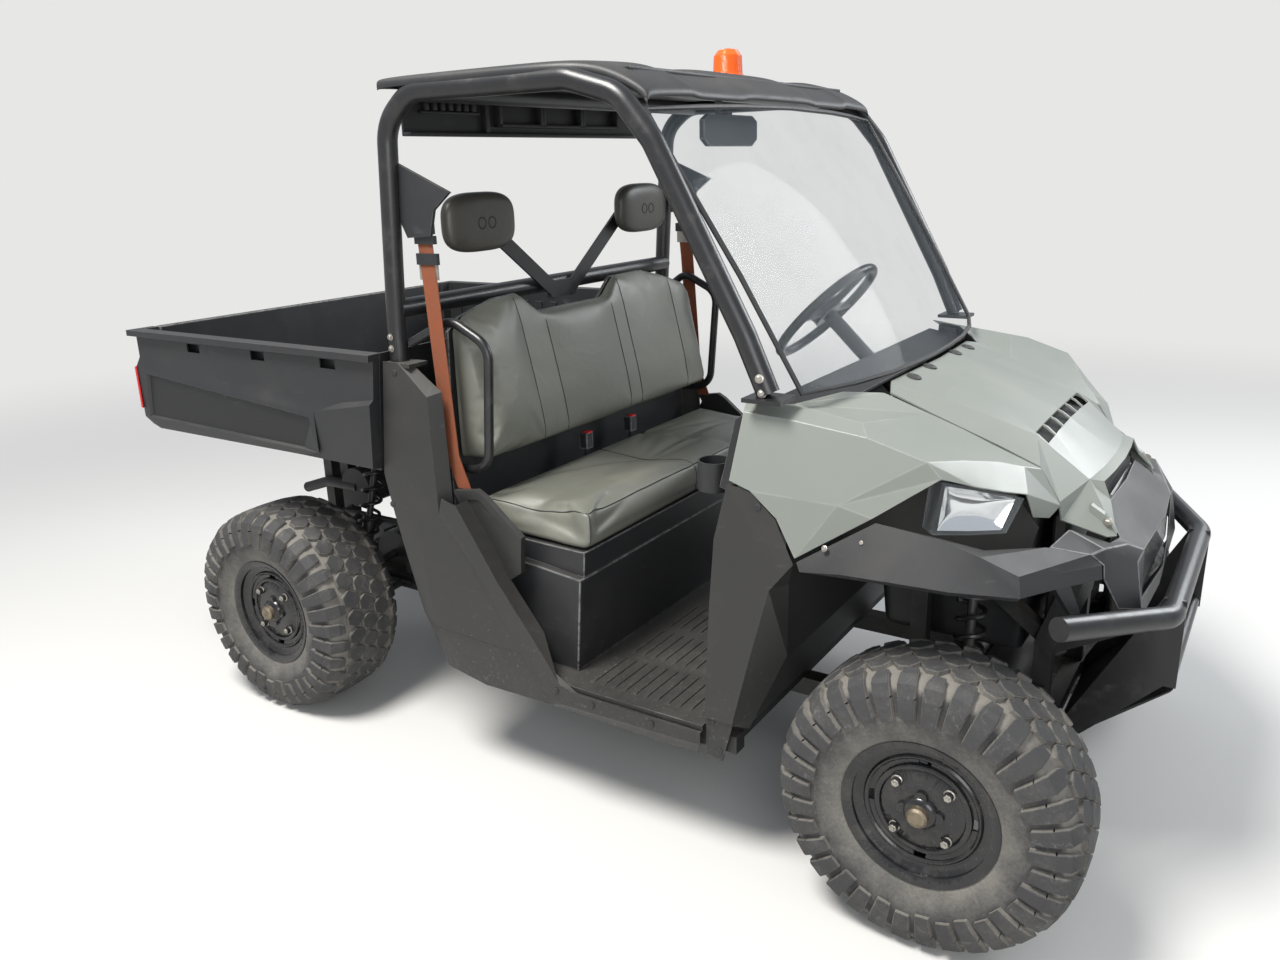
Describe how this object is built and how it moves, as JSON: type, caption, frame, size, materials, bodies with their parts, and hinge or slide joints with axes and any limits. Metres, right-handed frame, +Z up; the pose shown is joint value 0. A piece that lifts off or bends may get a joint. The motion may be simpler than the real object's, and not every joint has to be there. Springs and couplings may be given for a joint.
{
  "type": "side by side utility vehicle",
  "caption": "Two-seat side by side utility vehicle with roll cage, hard roof, windshield, bench seat, tilting cargo bed, tilting hood and mud tyres on steel rims.",
  "frame": {"origin": "on the ground below the middle of the bounding box", "axes": "+X forward, +Y to the vehicle's left, +Z up"},
  "size_m": [2.994, 1.52, 1.95],
  "materials": {
    "painted_panel": "satin",
    "black_plastic": "textured",
    "black_steel": "satin",
    "rim_steel": "matte",
    "tyre_rubber": "dusty",
    "clear_screen": "clear",
    "seat_vinyl": "grained",
    "amber_lens": "clear",
    "red_lens": "clear",
    "lamp_lens": "clear",
    "engine_metal": "cast",
    "link_steel": "satin",
    "shock_metal": "satin",
    "wheel_grip": "soft",
    "belt_webbing": "woven"
  },
  "bodies": {
    "chassis": {"frame": "black_steel", "floor": "black_plastic", "seat_box": "black_plastic", "side_panels": "black_plastic", "front_panels": "black_plastic", "fenders": "painted_panel", "flares": "black_plastic", "fascia": "black_plastic", "headlights": "lamp_lens", "bumper": "black_steel", "front_skid": "black_plastic", "roll_cage": "black_steel", "roof": "black_plastic", "windshield": "clear_screen", "dash": "black_plastic", "seat_cushions": "seat_vinyl", "seat_pan": "black_plastic", "seat_back": "seat_vinyl", "seat_shell": "black_plastic", "headrests": "seat_vinyl", "headrest_arms": "black_steel", "hip_bars": "black_steel", "front_suspension": "link_steel", "rear_suspension": "link_steel", "shocks": "shock_metal", "steering_rack": "link_steel", "engine": "engine_metal", "exhaust": "link_steel", "beacon": "amber_lens", "grille": "black_plastic", "belt_retractors": "black_plastic", "seat_belts": "belt_webbing", "belt_buckles": "black_plastic", "mirror": "black_plastic", "cup_holder": "black_plastic"},
    "hood": {"hood": "painted_panel"},
    "steering_wheel": {"steering_wheel": "wheel_grip"},
    "knuckle_right": {"knuckle_right": "link_steel"},
    "knuckle_left": {"knuckle_left": "link_steel"},
    "tie_rod_right": {"tie_rod_right": "link_steel"},
    "tie_rod_left": {"tie_rod_left": "link_steel"},
    "bed": {"bed": "black_plastic", "tail_lights": "red_lens"},
    "tailgate": {"tailgate": "black_plastic"},
    "wheel_front_right": {"tyre_front_right": "tyre_rubber", "rim_front_right": "rim_steel"},
    "wheel_front_left": {"tyre_front_left": "tyre_rubber", "rim_front_left": "rim_steel"},
    "wheel_rear_right": {"tyre_rear_right": "tyre_rubber", "rim_rear_right": "rim_steel"},
    "wheel_rear_left": {"tyre_rear_left": "tyre_rubber", "rim_rear_left": "rim_steel"}
  },
  "joints": [
    {"name": "steer_right", "type": "hinge", "parent": "chassis", "child": "knuckle_right", "pos_m": [1.09, -0.56, 0.326], "axis": [0, 0, 1], "range_deg": [-30, 30]},
    {"name": "steer_left", "type": "hinge", "parent": "chassis", "child": "knuckle_left", "pos_m": [1.09, 0.56, 0.326], "axis": [0, 0, 1], "range_deg": [-30, 30]},
    {"name": "tie_rod_right_ball", "type": "hinge", "parent": "knuckle_right", "child": "tie_rod_right", "pos_m": [0.98, -0.54, 0.326], "axis": [0, 0, 1], "range_deg": [-30, 30]},
    {"name": "tie_rod_left_ball", "type": "hinge", "parent": "knuckle_left", "child": "tie_rod_left", "pos_m": [0.98, 0.54, 0.326], "axis": [0, 0, 1], "range_deg": [-30, 30]},
    {"name": "steering_turn", "type": "hinge", "parent": "chassis", "child": "steering_wheel", "pos_m": [0.403, 0.35, 1.194], "axis": [-0.7219, 0, 0.6919], "range_deg": [-270, 270]},
    {"name": "hood_tilt", "type": "hinge", "parent": "chassis", "child": "hood", "pos_m": [1.33, 0, 0.848], "axis": [0, 1, 0], "range_deg": [0, 60]},
    {"name": "bed_tilt", "type": "hinge", "parent": "chassis", "child": "bed", "pos_m": [-1.2, 0, 0.82], "axis": [0, -1, 0], "range_deg": [0, 40]},
    {"name": "tailgate_drop", "type": "hinge", "parent": "bed", "child": "tailgate", "pos_m": [-1.478, 0, 0.896], "axis": [0, -1, 0], "range_deg": [0, 90]},
    {"name": "roll_front_right", "type": "hinge", "parent": "knuckle_right", "child": "wheel_front_right", "pos_m": [1.09, -0.64, 0.326], "axis": [0, 1, 0], "continuous": true},
    {"name": "roll_front_left", "type": "hinge", "parent": "knuckle_left", "child": "wheel_front_left", "pos_m": [1.09, 0.64, 0.326], "axis": [0, 1, 0], "continuous": true},
    {"name": "roll_rear_right", "type": "hinge", "parent": "chassis", "child": "wheel_rear_right", "pos_m": [-0.97, -0.62, 0.326], "axis": [0, 1, 0], "continuous": true},
    {"name": "roll_rear_left", "type": "hinge", "parent": "chassis", "child": "wheel_rear_left", "pos_m": [-0.97, 0.62, 0.326], "axis": [0, 1, 0], "continuous": true}
  ],
  "couplings": [
    {"joint": "steer_left", "follows": "steer_right", "ratio": 1},
    {"joint": "tie_rod_right_ball", "follows": "steer_right", "ratio": -1},
    {"joint": "tie_rod_left_ball", "follows": "steer_right", "ratio": -1},
    {"joint": "steering_turn", "follows": "steer_right", "ratio": 9}
  ]
}
